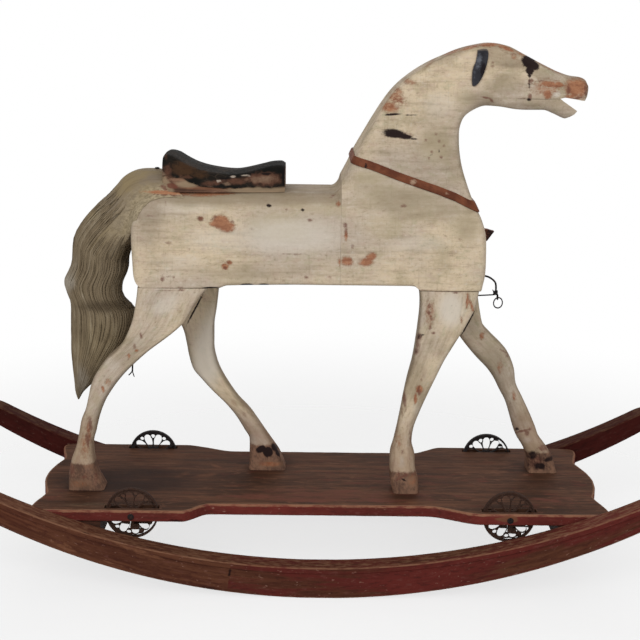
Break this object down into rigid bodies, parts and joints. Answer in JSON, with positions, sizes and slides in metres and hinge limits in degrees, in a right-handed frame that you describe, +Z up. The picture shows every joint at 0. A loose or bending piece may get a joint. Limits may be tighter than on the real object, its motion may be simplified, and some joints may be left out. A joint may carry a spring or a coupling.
{
  "type": "rocking horse on a wheeled platform",
  "caption": "Carved rocking horse with saddle and hair tail on a wheeled platform board that rests between two bow rockers and lifts off them.",
  "frame": {"origin": "on the floor, midway between the rockers, under the middle of their length", "axes": "+X forward, the way the horse faces; +Y to the horse's left; +Z up"},
  "size_m": [1.1964, 0.388, 0.8463],
  "materials": {
    "rocker_oxblood": "worn oxblood paint over wood",
    "rail_wood": "worn brown wood",
    "bare_wood": "bare turned wood",
    "board_brown": "worn brown paint, oxblood edges",
    "wheel_iron": "blackened cast iron",
    "rusty_iron": "rusted iron",
    "horse_cream": "crazed cream paint over wood",
    "saddle_wood": "stained wood",
    "saddle_leather": "dark worn leather",
    "ear_leather": "dark leather",
    "horsehair": "pale natural horsehair",
    "strap_leather": "rust-brown leather",
    "hook_iron": "black iron wire"
  },
  "bodies": {
    "rocker_base": {"rocker_right": "rocker_oxblood", "rocker_left": "rocker_oxblood", "cross_rail_rear": "rail_wood", "cross_rail_front": "rail_wood", "locating_peg_rear": "bare_wood", "locating_peg_front": "bare_wood"},
    "platform": {"platform_board": "board_brown", "axle_pin_rear_right": "rusty_iron", "axle_pin_rear_left": "rusty_iron", "axle_pin_front_right": "rusty_iron", "axle_pin_front_left": "rusty_iron", "barrel": "horse_cream", "neck_and_chest": "horse_cream", "body_dowel_lower": "bare_wood", "body_dowel_upper": "bare_wood", "leg_rear_right": "horse_cream", "leg_rear_left": "horse_cream", "leg_front_right": "horse_cream", "leg_front_left": "horse_cream", "hoof_screw_rear_right": "rusty_iron", "hoof_screw_rear_left": "rusty_iron", "hoof_screw_front_right": "rusty_iron", "hoof_screw_front_left": "rusty_iron", "saddle_block": "saddle_wood", "saddle_leather": "saddle_leather", "tail": "horsehair", "tail_tack": "rusty_iron", "breast_strap": "strap_leather", "ear_right": "ear_leather", "ear_left": "ear_leather", "chest_tab": "strap_leather", "chest_hook": "hook_iron"},
    "wheel_rear_right_body": {"wheel_rear_right": "wheel_iron"},
    "wheel_rear_left_body": {"wheel_rear_left": "wheel_iron"},
    "wheel_front_right_body": {"wheel_front_right": "wheel_iron"},
    "wheel_front_left_body": {"wheel_front_left": "wheel_iron"},
    "pull_ring_body": {"pull_ring": "hook_iron"}
  },
  "joints": [
    {"name": "platform_lift", "type": "slide", "parent": "rocker_base", "child": "platform", "axis": [0, 0, 1], "range_m": [0, 0.1]},
    {"name": "wheel_rear_right_spin", "type": "hinge", "parent": "platform", "child": "wheel_rear_right_body", "pos_m": [-0.2973, -0.1405, 0.11745], "axis": [0, 1, 0], "continuous": true},
    {"name": "wheel_rear_left_spin", "type": "hinge", "parent": "platform", "child": "wheel_rear_left_body", "pos_m": [-0.2973, 0.1405, 0.11745], "axis": [0, 1, 0], "continuous": true},
    {"name": "wheel_front_right_spin", "type": "hinge", "parent": "platform", "child": "wheel_front_right_body", "pos_m": [0.2973, -0.1405, 0.11745], "axis": [0, 1, 0], "continuous": true},
    {"name": "wheel_front_left_spin", "type": "hinge", "parent": "platform", "child": "wheel_front_left_body", "pos_m": [0.2973, 0.1405, 0.11745], "axis": [0, 1, 0], "continuous": true},
    {"name": "pull_ring_swing", "type": "hinge", "parent": "platform", "child": "pull_ring_body", "pos_m": [0.278, -0.04, 0.4464], "axis": [0, 1, 0], "range_deg": [-60, 40]}
  ]
}
